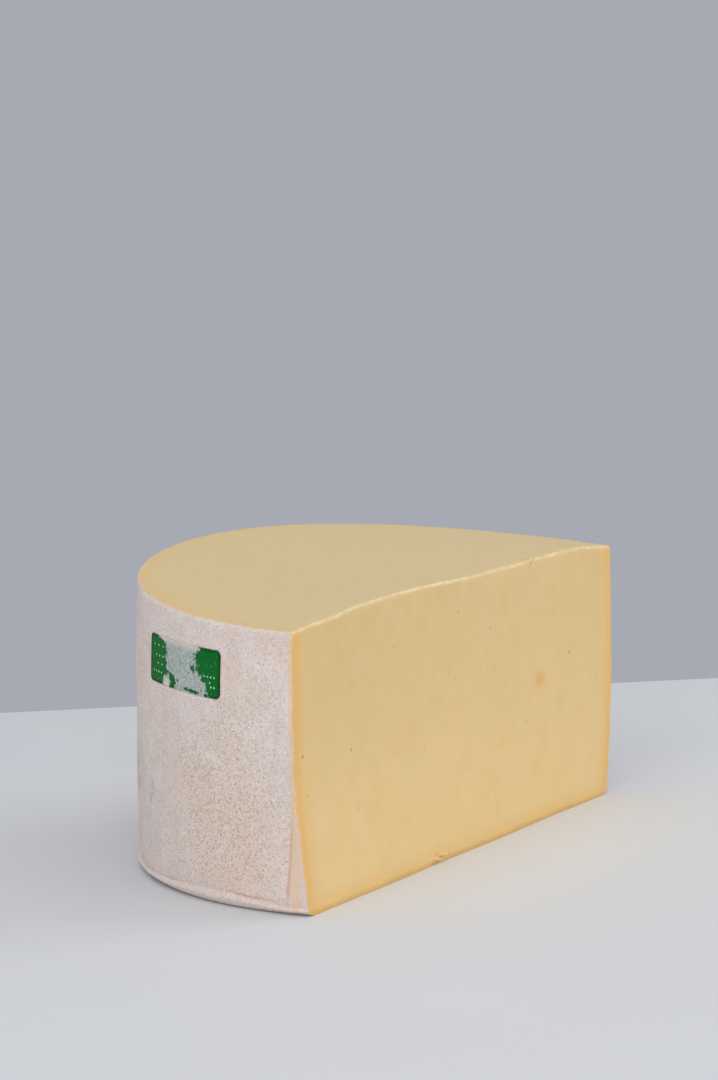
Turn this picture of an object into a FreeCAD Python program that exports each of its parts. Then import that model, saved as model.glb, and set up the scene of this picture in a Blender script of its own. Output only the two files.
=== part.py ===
"""Half of a cantal wheel: cut level at half height, then halved, with its green plaque.

Millimetres, +Z up.  The upright cut face looks towards -Y and its chord runs along X;
the rind bulges towards +Y.  The piece stands on the end face of the wheel.
"""
import FreeCAD
import Part
import math
import os

V = FreeCAD.Vector

# ---------------------------------------------------------------- driving sizes
WHEEL_R = 195.0            # mean radius of the whole wheel
HEIGHT = 165.5             # height of the half wheel, measured at the wheel's axis

# how the wheel sagged out of round while it ripened
OVAL = 1.6                 # swing of the radius, two rises round the wheel
OVAL_TURN = -5.0           # degrees from +X to the first of them
LOBE = 1.3                 # swing of the radius, three rises round the wheel
LOBE_TURN = 45.0           # degrees from +X to the first of them
BARREL = 0.9               # the wall swells by this much at half height
LEAN_X = -1.8              # shift of the foot against the top
LEAN_Y = 2.6

# foot of the rind, where the cloth was folded under
HEEL_IN = 7.8              # the base starts about this far inside the wall
HEEL_SWING = 2.4           # and by this much more or less round the wheel
HEEL_WAVES = 4             # times that it comes and goes
HEEL_TURN = 122.0          # degrees from +X to one of its deepest places
LIP_LOW = 5.0              # height of the folded lip where it is lowest
LIP_HIGH = 7.7             # and where it is highest
LIP_WAVES = 5              # rises of the lip round the wheel
LIP_TURN = 170.0           # degrees from +X to one of the rises
LIP_THIN = 0.5             # share of its height that it loses beside the near cut
LIP_THIN_SPAN = 6.5        # degrees over which it thins out
LIP_OUT = 0.9              # the lip stands out of the wall by about this much
LIP_CREASE = 0.8           # depth of the crease above the lip

# top, cut level by a wire that wandered
TOP_RISE_X = 0.0053        # rise per mm along the chord
TOP_RISE_Y = 0.0557        # rise per mm from the chord towards the rind
TOP_CROWN = 5.9            # fall of the top at either end of the chord
TOP_TWIST = 5.9            # rise of the rind side at +X, and its fall at -X
TOP_LIFT = 3.9             # further rise of the top at the middle of the rind
WANDER_LENGTH = 250.0      # length of one wander of the wire along the chord
WANDER_START = 24.0        # the first wander starts this far in from the -X end
WANDER_NEAR = 0.7          # swing of the wander at the -X end
WANDER_FAR = 2.0           # and at the +X end
WANDER_FADE = 70.0         # it fades out over this depth behind the upright face

# front, cut upright by the same wire
DRIFT_AXIS = 1.4           # the foot of the face stands out by this much at the axis
DRIFT_SLOPE = 0.0327       # and by this much more per mm towards -X
DRIFT_SHARE = 0.465        # the drift starts at this share of the height
DRIFT_SOFT = 0.12          # softness of that start
RIPPLE = 0.35              # slow ripple of the upright face
RIPPLE_LENGTH = 140.0      # length of one ripple along the chord

EDGE_ROUND = 1.5           # softened edge all round the level cut

# crease of the cloth's overlap, running down beside the cut corner
FOLD_AWAY = 7.3            # it ends this far behind the chord at the foot
FOLD_BEND = 1.5            # power of its bend on the way down
FOLD_R = 1.3               # radius of the crease
FOLD_DEPTH = 0.8           # its depth at the foot
FOLD_CLEAR = 0.25          # at its top the bar that pressed it clears the wall

# identification plaque pressed into the rind
PLAQUE_W = 75.6
PLAQUE_H = 27.3
PLAQUE_CORNER = 3.0
PLAQUE_TURN = 154.2        # degrees from +X to its middle
PLAQUE_BELOW = 33.8        # its middle lies this far below the height at the axis
PLAQUE_TILT = -2.0         # degrees, its end towards +Y is the higher one
PLAQUE_T = 1.1             # thickness of the plate
PLAQUE_PROUD = 0.2         # the plate stands out of the rind by this much
PLAQUE_RIM_W = 1.5         # raised rim along the edge of the plate
PLAQUE_RIM_T = 0.3
SEAT_GAP = 0.3             # air between the plaque and its seat

# ---------------------------------------------------------------- working sizes
RING_POINTS = 60           # guide points round the wall
SURFACE_GRID = 17          # guide points each way on the two cut surfaces
OVERCUT = 40.0             # cutting bodies reach this far past the cheese
PRISM_REACH = 30.0         # the plaque's outline is carried this far in and out
NEAR = 0.5                 # an edge belongs to a cut surface within this distance
TURN_START = -90.0         # the wall's seam lies on the half that is cut away
WALL_TOP = HEIGHT + TOP_RISE_Y * WHEEL_R + TOP_TWIST + TOP_LIFT + OVERCUT

# guide rows of the foot: height as a share of the heel and of the lip, extra height,
# share of the heel inwards, step outwards
FOOT_ROWS = [
    (0.00, 0.00, 0.0, 1.00, 0.0),
    (0.05, 0.00, 0.0, 0.62, 0.0),
    (0.27, 0.00, 0.0, 0.20, 0.0),
    (0.18, 0.45, 0.0, 0.00, 1.2 * LIP_OUT),
    (0.06, 0.85, 0.0, 0.00, 1.0 * LIP_OUT),
    (0.00, 1.00, 0.4, 0.00, -1.8 * LIP_CREASE),
    (0.00, 1.00, 2.0, 0.00, -0.4 * LIP_CREASE),
    (0.00, 1.00, 6.0, 0.00, 0.0),
    (0.00, 1.00, 12.0, 0.00, 0.0),
]
# guide rows of the plain wall: share of its full height
WALL_ROWS = [0.16, 0.26, 0.38, 0.50, 0.62, 0.75, 0.88, 1.0]


# ---------------------------------------------------------------- the sagged wheel
def radius_at(turn):
    """Radius of the sagged wheel, turn in degrees from +X."""
    oval = OVAL * math.cos(math.radians(2 * (turn - OVAL_TURN)))
    lobe = LOBE * math.cos(math.radians(3 * (turn - LOBE_TURN)))
    return WHEEL_R + oval + lobe


def lip_height(turn):
    """Height of the folded lip, rising and falling round the wheel."""
    middle = (LIP_HIGH + LIP_LOW) / 2
    swing = (LIP_HIGH - LIP_LOW) / 2
    height = middle + swing * math.cos(math.radians(LIP_WAVES * (turn - LIP_TURN)))
    thinning = LIP_THIN * math.exp(-((turn - 180.0) / LIP_THIN_SPAN) ** 2)
    return height * (1 - thinning)


def heel_in(turn):
    """How far inside the wall the base starts."""
    return HEEL_IN + HEEL_SWING * math.cos(math.radians(HEEL_WAVES * (turn - HEEL_TURN)))


def wall_point(turn, z, out):
    """Point of the wall at a height, moved outwards by out."""
    share = z / HEIGHT
    barrel = BARREL * math.sin(math.pi * min(share, 1.0))
    r = radius_at(turn) + barrel + out
    a = math.radians(turn)
    x = LEAN_X * (1 - share) + r * math.cos(a)
    y = LEAN_Y * (1 - share) + r * math.sin(a)
    return V(x, y, z)


def wall_column(turn, out):
    """Guide points up the wall at one turn."""
    column = []
    heel = heel_in(turn)
    for low, high, extra, inwards, step in FOOT_ROWS:
        z = low * heel + high * lip_height(turn) + extra
        column.append(wall_point(turn, z, step - inwards * heel + out))
    for share in WALL_ROWS:
        column.append(wall_point(turn, share * WALL_TOP, out))
    return column


def whole_wheel(out):
    """The wheel with its folded foot, grown outwards by out."""
    turn_step = 360.0 / RING_POINTS
    # a smooth ring lies a little inside its guide points; this brings it back out
    pull = (2 + math.cos(math.radians(turn_step))) / 3
    grid = []
    for i in range(RING_POINTS):
        column = wall_column(TURN_START + turn_step * i, out)
        grid.append([V(p.x / pull, p.y / pull, p.z) for p in column])
    rows = len(grid[0])
    degree = 3
    ring_knots = [float(k) for k in range(RING_POINTS + 1)]
    row_knots = [float(k) for k in range(rows - degree + 1)]
    ring_counts = [1] * len(ring_knots)
    row_counts = [degree + 1] + [1] * (len(row_knots) - 2) + [degree + 1]
    wall = Part.BSplineSurface()
    wall.buildFromPolesMultsKnots(
        grid, ring_counts, row_counts, ring_knots, row_knots, True, False, degree, degree
    )
    faces = [wall.toShape()]
    for v in (row_knots[0], row_knots[-1]):
        faces.append(Part.Face(Part.Wire([wall.vIso(v).toShape()])))
    shell = Part.Shell(faces)
    shell.sewShape()
    solid = Part.Solid(shell)
    if solid.Volume < 0:
        solid.reverse()
    return solid


# ---------------------------------------------------------------- the two wire cuts
def top_height(x, y):
    """Height of the level cut over a point of the plan."""
    plane = HEIGHT + TOP_RISE_X * x + TOP_RISE_Y * y
    crown = -TOP_CROWN * (x / WHEEL_R) ** 2
    twist = TOP_TWIST * (x / WHEEL_R) * (y / WHEEL_R)
    lift = TOP_LIFT * (y / WHEEL_R) ** 2
    along = x + WHEEL_R
    swing = WANDER_NEAR + (WANDER_FAR - WANDER_NEAR) * along / (2 * WHEEL_R)
    fade = math.exp(-(y / WANDER_FADE) ** 2)
    wander = swing * fade * math.sin(2 * math.pi * (along - WANDER_START) / WANDER_LENGTH)
    return plane + crown + twist + lift + wander


def face_out(x, z):
    """How far the upright cut stands out towards -Y."""
    rest = 1 - z / (DRIFT_SHARE * HEIGHT)
    grow = (rest + math.sqrt(rest * rest + DRIFT_SOFT * DRIFT_SOFT)) / 2
    drift = (DRIFT_AXIS - DRIFT_SLOPE * x) * grow
    ripple = RIPPLE * math.sin(2 * math.pi * (x / RIPPLE_LENGTH + z / (2 * HEIGHT)))
    return drift + ripple


def spread(low, high):
    """Evenly spaced places from low to high."""
    return [low + (high - low) * i / (SURFACE_GRID - 1) for i in range(SURFACE_GRID)]


def cutting_body(columns, push):
    """Body bounded by a smooth surface through the columns and pushed away from it."""
    surface = Part.BSplineSurface()
    surface.interpolate(columns)
    return surface.toShape().extrude(push)


def above_top():
    """Everything above the level cut."""
    places = spread(-WHEEL_R - OVERCUT, WHEEL_R + OVERCUT)
    columns = [[V(x, y, top_height(x, y)) for y in places] for x in places]
    return cutting_body(columns, V(0, 0, WALL_TOP))


def before_face():
    """Everything in front of the upright cut."""
    places = spread(-WHEEL_R - OVERCUT, WHEEL_R + OVERCUT)
    levels = spread(-OVERCUT, WALL_TOP + OVERCUT)
    columns = [[V(x, -face_out(x, z), z) for z in levels] for x in places]
    return cutting_body(columns, V(0, -2 * (WHEEL_R + OVERCUT), 0))


def top_edges(shape):
    """Edges that bound the level cut."""
    found = []
    for edge in shape.Edges:
        middle = edge.valueAt((edge.FirstParameter + edge.LastParameter) / 2)
        if abs(middle.z - top_height(middle.x, middle.y)) < NEAR:
            found.append(edge)
    return found


# ---------------------------------------------------------------- crease and plaque
def fold_bar():
    """Round bar lying in the overlap crease, easing out of the wall at its top."""
    steps = 9
    top = DRIFT_SHARE * HEIGHT
    below = 2.0
    points = []
    for i in range(steps):
        share = i / (steps - 1)
        away = FOLD_AWAY * (1 - share) ** FOLD_BEND
        turn = 180.0 - math.degrees(away / WHEEL_R)
        ease = share ** 3
        out = (FOLD_R - FOLD_DEPTH) * (1 - ease) + (FOLD_R + FOLD_CLEAR) * ease
        points.append(wall_point(turn, -below + (top + below) * share, out))
    path = Part.BSplineCurve()
    path.interpolate(Points=points)
    along = path.tangent(path.FirstParameter)[0]
    ring = Part.Wire([Part.makeCircle(FOLD_R, points[0], along)])
    return Part.Wire([path.toShape()]).makePipeShell([ring], True, False)


def plaque_prism(grow):
    """The plaque's outline, grown by grow, carried in and out through the rind."""
    w = PLAQUE_W / 2 + grow
    h = PLAQUE_H / 2 + grow
    block = Part.makeBox(2 * w, 2 * PRISM_REACH, 2 * h, V(-w, -PRISM_REACH, -h))
    through = [e for e in block.Edges if abs(e.tangentAt(e.FirstParameter).y) > NEAR]
    block = block.makeFillet(PLAQUE_CORNER + grow, through)
    block.rotate(V(0, 0, 0), V(0, 1, 0), PLAQUE_TILT)
    block.rotate(V(0, 0, 0), V(0, 0, 1), PLAQUE_TURN - 90.0)
    block.translate(wall_point(PLAQUE_TURN, HEIGHT - PLAQUE_BELOW, 0.0))
    return block


def make_plaque():
    """Thin curved plate with a raised rim."""
    plate = plaque_prism(0.0).common(whole_wheel(PLAQUE_PROUD + PLAQUE_RIM_T))
    plate = plate.cut(whole_wheel(PLAQUE_PROUD - PLAQUE_T))
    field = plaque_prism(-PLAQUE_RIM_W).cut(whole_wheel(PLAQUE_PROUD))
    return plate.cut(field).Solids[0]


def make_cheese():
    """Paste and rind as one solid, with the crease and the plaque's seat."""
    body = whole_wheel(0.0).cut(above_top()).cut(before_face()).Solids[0]
    body = body.makeFillet(EDGE_ROUND, top_edges(body))
    body = body.cut(fold_bar())
    seat = plaque_prism(SEAT_GAP).cut(whole_wheel(PLAQUE_PROUD - PLAQUE_T - SEAT_GAP))
    return body.cut(seat).Solids[0]


def save(node, solid, shift):
    solid.translate(shift)
    solid.exportStep("parts/" + node + ".step")


os.makedirs("parts", exist_ok=True)
cheese = make_cheese()
plaque = make_plaque()
box = cheese.optimalBoundingBox(False)
to_origin = V(-box.Center.x, -box.Center.y, -box.ZMin)
save("cheese", cheese, to_origin)
save("plaque", plaque, to_origin)
print("cheese", round(cheese.Volume), "mm3, valid", cheese.isValid())
print("plaque", round(plaque.Volume), "mm3, valid", plaque.isValid())
print("box", box.XLength, box.YLength, box.ZLength, "shift", to_origin)
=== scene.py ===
"""Looks of the cantal half wheel: wire-cut paste, cloth-marked rind and the worn green plaque."""
import math

import bpy
import numpy as np
from mathutils import Matrix, Vector, geometry, noise
from mathutils.kdtree import KDTree


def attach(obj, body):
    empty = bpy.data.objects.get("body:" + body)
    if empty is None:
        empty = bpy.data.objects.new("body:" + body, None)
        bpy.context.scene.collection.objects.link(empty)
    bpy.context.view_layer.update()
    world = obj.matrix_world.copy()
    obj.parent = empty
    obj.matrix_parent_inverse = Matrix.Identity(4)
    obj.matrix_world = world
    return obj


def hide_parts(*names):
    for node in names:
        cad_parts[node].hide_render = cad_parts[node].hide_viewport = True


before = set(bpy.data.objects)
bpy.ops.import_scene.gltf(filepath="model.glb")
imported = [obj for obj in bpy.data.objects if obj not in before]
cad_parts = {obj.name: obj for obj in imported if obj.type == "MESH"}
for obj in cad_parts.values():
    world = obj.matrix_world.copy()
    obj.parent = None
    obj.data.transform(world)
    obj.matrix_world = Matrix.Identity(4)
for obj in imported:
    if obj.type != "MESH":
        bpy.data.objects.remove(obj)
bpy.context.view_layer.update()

MM = 0.001

# ---------------------------------------------------------------- sizes of the piece, mm
WHEEL_R = 195.0
HEIGHT = 165.5
AXIS_X = 2.19              # where the wheel's axis stands in the frame
AXIS_Y = -94.12
OVAL, OVAL_TURN = 1.6, -5.0
LOBE, LOBE_TURN = 1.3, 45.0
BARREL = 0.9
LEAN_X, LEAN_Y = -1.8, 2.6
HEEL_IN, HEEL_SWING, HEEL_WAVES, HEEL_TURN = 7.8, 2.4, 4, 122.0
LIP_LOW, LIP_HIGH, LIP_WAVES, LIP_TURN = 5.0, 7.7, 5, 170.0
LIP_THIN, LIP_THIN_SPAN = 0.5, 6.5
LIP_OUT, LIP_CREASE = 0.9, 0.8
TOP_RISE_X, TOP_RISE_Y = 0.0053, 0.0557
TOP_CROWN, TOP_TWIST, TOP_LIFT = 5.9, 5.9, 3.9
WANDER_LENGTH, WANDER_START = 250.0, 24.0
WANDER_NEAR, WANDER_FAR, WANDER_FADE = 0.7, 2.0, 70.0
DRIFT_AXIS, DRIFT_SLOPE, DRIFT_SHARE, DRIFT_SOFT = 1.4, 0.0327, 0.465, 0.12
RIPPLE, RIPPLE_LENGTH = 0.35, 140.0
FOLD_AWAY, FOLD_BEND, FOLD_DEPTH = 7.3, 1.5, 0.9
PLAQUE_W, PLAQUE_H, PLAQUE_CORNER = 75.6, 27.3, 3.0
PLAQUE_TURN, PLAQUE_BELOW, PLAQUE_TILT = 154.2, 33.8, 2.0
PLAQUE_T, PLAQUE_PROUD, PLAQUE_RIM_W, PLAQUE_RIM_T = 1.1, 0.2, 1.5, 0.3
SEAT_GAP = 0.3
WALL_SPARE = 40.0          # the smooth wall goes on this far above the level cut
WALL_TOP = HEIGHT + TOP_RISE_Y * WHEEL_R + TOP_TWIST + TOP_LIFT + WALL_SPARE

# guide rows of the foot: height as a share of the heel and of the lip, extra height,
# share of the heel inwards, step outwards
FOOT_ROWS = [
    (0.00, 0.00, 0.0, 1.00, 0.0),
    (0.05, 0.00, 0.0, 0.62, 0.0),
    (0.27, 0.00, 0.0, 0.20, 0.0),
    (0.18, 0.45, 0.0, 0.00, 1.2 * LIP_OUT),
    (0.06, 0.85, 0.0, 0.00, 1.0 * LIP_OUT),
    (0.00, 1.00, 0.4, 0.00, -1.8 * LIP_CREASE),
    (0.00, 1.00, 2.0, 0.00, -0.4 * LIP_CREASE),
    (0.00, 1.00, 6.0, 0.00, 0.0),
    (0.00, 1.00, 12.0, 0.00, 0.0),
]
WALL_ROWS = [0.16, 0.26, 0.38, 0.50, 0.62, 0.75, 0.88, 1.0]
GUIDES = len(FOOT_ROWS) + len(WALL_ROWS)

SEED = 7
HALVINGS = 32              # steps in which a height is found on the wall


# ---------------------------------------------------------------- forms, in mm about the wheel's axis
def wave(degrees):
    """Cosine of an angle in degrees."""
    return np.cos(np.radians(degrees))


def radius_at(turn):
    """Radius of the rind at a turn, before barrel, lean, heel and lip."""
    return WHEEL_R + OVAL * wave(2 * (turn - OVAL_TURN)) + LOBE * wave(3 * (turn - LOBE_TURN))


def lip_height(turn):
    """Height of the folded lip, which thins at the near cut."""
    height = (LIP_HIGH + LIP_LOW) / 2 + (LIP_HIGH - LIP_LOW) / 2 * wave(LIP_WAVES * (turn - LIP_TURN))
    return height * (1 - LIP_THIN * np.exp(-((turn - 180.0) / LIP_THIN_SPAN) ** 2))


def guide_bend(places):
    """Share of each guide row in a smooth wall, at places up the rows."""
    knots = np.concatenate([[0.0] * 3, np.arange(GUIDES - 2), [GUIDES - 3.0] * 3])
    places = np.clip(places, 0, GUIDES - 3 - 1e-9)[..., None]
    share = ((knots[:-1] <= places) & (places < knots[1:])).astype(float)
    for degree in (1, 2, 3):
        left, right = knots[:-degree - 1], knots[degree + 1:]
        rise = np.maximum(knots[degree:-1] - left, 1e-9)
        fall = np.maximum(right - knots[1:-degree], 1e-9)
        share = share[..., :-1] * (places - left) / rise + share[..., 1:] * (right - places) / fall
    return share


def guide_rows(turn, out=0.0):
    """Height and step outwards of every guide row, at each turn."""
    lip = lip_height(turn)
    heel = HEEL_IN + HEEL_SWING * wave(HEEL_WAVES * (turn - HEEL_TURN))
    heights = [low * heel + high * lip + extra for low, high, extra, _, _ in FOOT_ROWS]
    steps = [step - inwards * heel + out for _, _, _, inwards, step in FOOT_ROWS]
    heights += [share * WALL_TOP + 0 * lip for share in WALL_ROWS]
    steps += [out + 0 * lip for _ in WALL_ROWS]
    return np.stack(heights, -1), np.stack(steps, -1)


def wall_at(turn, z, out=0.0):
    """Points of the smooth wall at given turns and heights."""
    turn, z = np.broadcast_arrays(np.asarray(turn, float), np.asarray(z, float))
    heights, steps = guide_rows(turn, out)
    low, high = np.zeros(turn.shape), np.full(turn.shape, GUIDES - 3.0)
    for _ in range(HALVINGS):
        middle = (low + high) / 2
        below = (guide_bend(middle) * heights).sum(-1) < z
        low, high = np.where(below, middle, low), np.where(below, high, middle)
    bend = guide_bend(middle)
    share = heights / HEIGHT
    r = radius_at(turn)[..., None] + BARREL * np.sin(np.pi * np.minimum(share, 1.0)) + steps
    a = np.radians(turn)[..., None]
    x = (bend * (LEAN_X * (1 - share) + r * np.cos(a))).sum(-1)
    y = (bend * (LEAN_Y * (1 - share) + r * np.sin(a))).sum(-1)
    return np.stack([x, y, z], -1)


def top_height(x, y):
    """Height of the level cut."""
    along = x + WHEEL_R
    swing = WANDER_NEAR + (WANDER_FAR - WANDER_NEAR) * along / (2 * WHEEL_R)
    wander = swing * np.exp(-(y / WANDER_FADE) ** 2)
    wander = wander * np.sin(2 * np.pi * (along - WANDER_START) / WANDER_LENGTH)
    rx, ry = x / WHEEL_R, y / WHEEL_R
    plane = HEIGHT + TOP_RISE_X * x + TOP_RISE_Y * y
    return plane - TOP_CROWN * rx ** 2 + TOP_TWIST * rx * ry + TOP_LIFT * ry ** 2 + wander


def face_out(x, z):
    """How far the upright cut stands in front of the chord."""
    rest = 1 - z / (DRIFT_SHARE * HEIGHT)
    grow = (rest + np.sqrt(rest * rest + DRIFT_SOFT ** 2)) / 2
    ripple = RIPPLE * np.sin(2 * np.pi * (x / RIPPLE_LENGTH + z / (2 * HEIGHT)))
    return (DRIFT_AXIS - DRIFT_SLOPE * x) * grow + ripple


def fold_away(z):
    """How far behind the chord the overlap crease lies at a height."""
    return FOLD_AWAY * np.clip(1 - z / (DRIFT_SHARE * HEIGHT), 0, 1) ** FOLD_BEND


SWING_FADE, SWING_STEP = 0.6, 2.0        # how fast finer swings fade, and how much finer each is
SEED_SHIFT = (17.3, 5.1, 9.7)


def fractal(points, size, octaves, seed):
    """Smooth random swing about nought, for points in mm and a size in mm."""
    shift = Vector([seed * part for part in SEED_SHIFT])
    return np.array([noise.fractal(Vector(p) / size + shift, SWING_FADE, SWING_STEP, octaves)
                     for p in points])


def spread(along, up):
    """Places on the unrolled skin as points, for patterns and random swings."""
    return np.column_stack([along, up, 0 * along])


def smooth(value, low, high):
    """Soft step from nought to one between two places."""
    t = np.clip((value - low) / (high - low), 0, 1)
    return t * t * (3 - 2 * t)


def bell(away, wide):
    """One where away is nought, falling off over a width."""
    return np.exp(-(away / wide) ** 2)


def blob(x, y, cx, cy, wide, tall):
    """Soft round patch, one at its middle."""
    return np.exp(-(((x - cx) / wide) ** 2 + ((y - cy) / tall) ** 2))


def strongest(*fields):
    """The highest of several values at each point."""
    return np.maximum.reduce(fields)


def inset(a, b):
    """Distance inside the plaque's rounded outline, less than nought outside it."""
    dx = np.abs(a) - (PLAQUE_W / 2 - PLAQUE_CORNER)
    dy = np.abs(b) - (PLAQUE_H / 2 - PLAQUE_CORNER)
    outer = np.hypot(np.maximum(dx, 0), np.maximum(dy, 0))
    return PLAQUE_CORNER - outer - np.minimum(np.maximum(dx, dy), 0)


# ---------------------------------------------------------------- mesh helpers
def make_mesh(name, points, faces, **fields):
    """Mesh in the frame, from points in mm about the wheel's axis, with numbers or vectors that
    it carries for each point."""
    mesh = bpy.data.meshes.new(name)
    placed = (np.asarray(points, float) + (AXIS_X, AXIS_Y, 0)) * MM
    mesh.from_pydata(placed.tolist(), [], [tuple(int(i) for i in f) for f in faces])
    for label, values in fields.items():
        values = np.asarray(values, np.float32)
        kind, key = ("FLOAT", "value") if values.ndim == 1 else ("FLOAT_VECTOR", "vector")
        mesh.attributes.new(label, kind, "POINT").data.foreach_set(key, values.ravel())
    return mesh


def stand(name, data):
    """Puts a mesh, light or camera into the scene as an object."""
    made = bpy.data.objects.new(name, data)
    bpy.context.scene.collection.objects.link(made)
    return made


def make_piece(mesh, materials=(), slots=None):
    """Smooth-shaded piece of the object from a mesh."""
    for material in materials:
        mesh.materials.append(material)
    if slots is not None:
        mesh.polygons.foreach_set("material_index", slots)
    mesh.polygons.foreach_set("use_smooth", [True] * len(mesh.polygons))
    mesh.update()
    return stand(mesh.name, mesh)


def grid_faces(index):
    """Quads over a grid of point numbers, outward when rows go up and columns go left."""
    a, b = index[:-1, :-1], index[1:, :-1]
    c, d = index[1:, 1:], index[:-1, 1:]
    return np.stack([a, d, c, b], -1).reshape(-1, 4)


def triangulated(flat, rim_count):
    """Triangles over flat points inside the loop of the first ones, and each point's source."""
    made = geometry.delaunay_2d_cdt(flat, [], [list(range(rim_count))], 1, 1e-5)
    return made[2], made[3]


def from_edges(count, near, first):
    """Places from nought to one, close together at both ends."""
    ends = np.cumsum(near) * first
    middle = np.linspace(ends[-1], 1 - ends[-1], count - 2 * len(near))
    return np.concatenate([[0.0], ends[:-1], middle, 1 - ends[:-1][::-1], [1.0]])


# ---------------------------------------------------------------- materials
# colours of the paste
PASTE_PALE, PASTE_DEEP, PASTE_WARM, PASTE_CREAM = "#dec188", "#dbbe83", "#dcb97a", "#e8cf9c"
PASTE_BRUISE, BAND_AMBER, BAND_ORANGE, PASTE_DRY = "#dda655", "#e8be76", "#e8b767", "#dec796"
FOOT_OLIVE, EDGE_HIGHLIGHT_PALE, PIT_SHADE, PASTE_PAINTED_BRIGHT = "#d0a355", "#f2e2b4", "#a57b45", "#efcf92"
# colours of the rind
RIND_PINK, RIND_GREY, RIND_TAN, RIND_WHITE = "#e3d0c6", "#dccfc9", "#dfc8b6", "#f2eae7"
RIND_GREEN, STAIN_GREY, PORE_TAN, CREASE_ORANGE = "#cdc6b4", "#a08c7b", "#c5a27f", "#cf8f5c"
FLAP_PEACH, CORNER_HIGHLIGHT_CREAM = "#ecccb2", "#eac794"
# colours of the plaque
PLATE_GREEN, PLATE_MOSS, PLATE_RIM = "#066921", "#0b6f2d", "#035319"
WORN_PALE, WORN_GREY, WORN_GREEN = "#c2cac6", "#98a49f", "#84a08c"
MOULD_CREAM = "#dbd5c9"

# random patches of each finish: size across in mm, detail, roughness, seed
PASTE_CLOUDS = {
    "broad": (75.0, 2.0, 0.5, 1.0), "marble": (17.0, 4.0, 0.6, 2.0),
    "grain": (2.6, 4.0, 0.65, 3.0), "ragged": (9.0, 4.0, 0.6, 4.0),
}
CURD = 11.0                # a milled curd, mm
# the rind's grain and pores are under 1 mm, and are drawn a little coarser so that they show
RIND_CLOUDS = {
    "broad": (60.0, 3.0, 0.55, 11.0), "patch": (12.0, 4.0, 0.65, 12.0),
    "grain": (1.4, 2.0, 0.6, 13.0), "pore": (1.4, 2.0, 0.5, 15.0),
}
STREAK, STREAK_DRAWN = 7.0, 0.12         # width of a streak in mm, and as a share of its length
# pitch of warp and weft, mm: half as wide again as in the cloth, so that the threads show
THREADS = (("X", 1.2), ("Y", 1.35))
PLATE_CLOUDS = {
    "patch": (5.0, 4.0, 0.65, 21.0), "fine": (1.2, 3.0, 0.7, 22.0), "ragged": (3.6, 6.0, 0.75, 23.0),
}

# holes and marks in the cut face: place along the chord, height, radius, strength of the painted shade in
# them, mm
PITS = [
    (-9.1, 144.1, 1.6, 0.35), (31.6, 129.7, 1.3, 0.55), (-84.6, 134.3, 1.1, 0.4),
    (133.9, 100.7, 1.4, 0.7), (35.7, 102.3, 1.0, 0.5), (-14.3, 105.9, 0.9, 0.5),
    (-136.8, 82.9, 1.2, 0.6), (-188.8, 87.5, 1.4, 0.7), (76.0, 65.3, 1.1, 0.5),
    (-52.0, 71.0, 0.8, 0.4), (112.0, 131.0, 0.8, 0.4), (160.0, 58.0, 0.9, 0.4),
    (-185.5, 65.0, 0.9, 0.4), (-133.5, 52.0, 0.9, 0.5), (-133.7, 50.3, 0.8, 0.5),
    (-134.0, 48.4, 0.9, 0.5), (-50.0, 0.9, 0.9, 0.45), (-48.2, 1.0, 0.9, 0.5),
    (-46.4, 1.2, 0.9, 0.55), (-44.6, 1.3, 0.9, 0.5), (-42.8, 1.5, 0.8, 0.4),
]
PIT_FLOOR = 0.3            # share of a pit's radius that is darkest


def colour(code):
    """Linear colour from a hex code."""
    parts = [int(code[i:i + 2], 16) / 255 for i in (1, 3, 5)]
    return [c / 12.92 if c <= 0.04045 else ((c + 0.055) / 1.055) ** 2.4 for c in parts] + [1.0]


def per(size):
    """Texture scale for a pattern of this many mm."""
    return 1 / (size * MM)


def node(tree, kind, inputs=None, **settings):
    """Adds a node. Its inputs are values, outputs of other nodes, or nodes, which give their first
    live output."""
    made = tree.nodes.new(kind)
    for name, value in settings.items():
        setattr(made, name, value)
    for name, value in (inputs or {}).items():
        if isinstance(value, bpy.types.Node):
            value = next(output for output in value.outputs if output.enabled)
        if isinstance(value, bpy.types.NodeSocket):
            tree.links.new(value, made.inputs[name])
        else:
            made.inputs[name].default_value = value
    return made


def step(field, low, high, start=0.0, end=1.0):
    """Inputs of a soft step: a field, its two places, and what is given before and after them."""
    return {"Value": field, "From Min": low, "From Max": high, "To Min": start, "To Max": end}


SOFT = {"interpolation_type": "SMOOTHSTEP"}
SHARE, UNDER, OVER = 0, 6, 7             # the mix node's sockets when it mixes colours


def layer(tree, under, tint, field, low, high, most=1.0, times=None):
    """Lays a colour over another where a field goes from low to high, up to a share of most."""
    share = node(tree, "ShaderNodeMapRange", step(field, low, high, 0.0, most), **SOFT)
    if times is not None:
        share = node(tree, "ShaderNodeMath", {0: times, 1: share}, operation="MULTIPLY")
    return node(tree, "ShaderNodeMix", {SHARE: share, UNDER: under, OVER: colour(tint)},
                data_type="RGBA")


def new_material(name, clouds, fields):
    """Starts a material. Returns it, its tree, the place of each point, and by name its random
    patches and the fields that the mesh carries."""
    material = bpy.data.materials.new(name)
    material.use_nodes = True
    tree = material.node_tree
    tree.nodes.clear()
    where = node(tree, "ShaderNodeTexCoord").outputs["Object"]
    given = {}
    for label, (size, detail, rough, seed) in clouds.items():
        given[label] = node(tree, "ShaderNodeTexNoise",
                            {"Vector": where, "W": seed, "Scale": per(size), "Detail": detail,
                             "Roughness": rough}, noise_dimensions="4D")
    for label in fields:
        given[label] = node(tree, "ShaderNodeAttribute", attribute_name=label).outputs["Fac"]
    return material, tree, where, given


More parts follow.
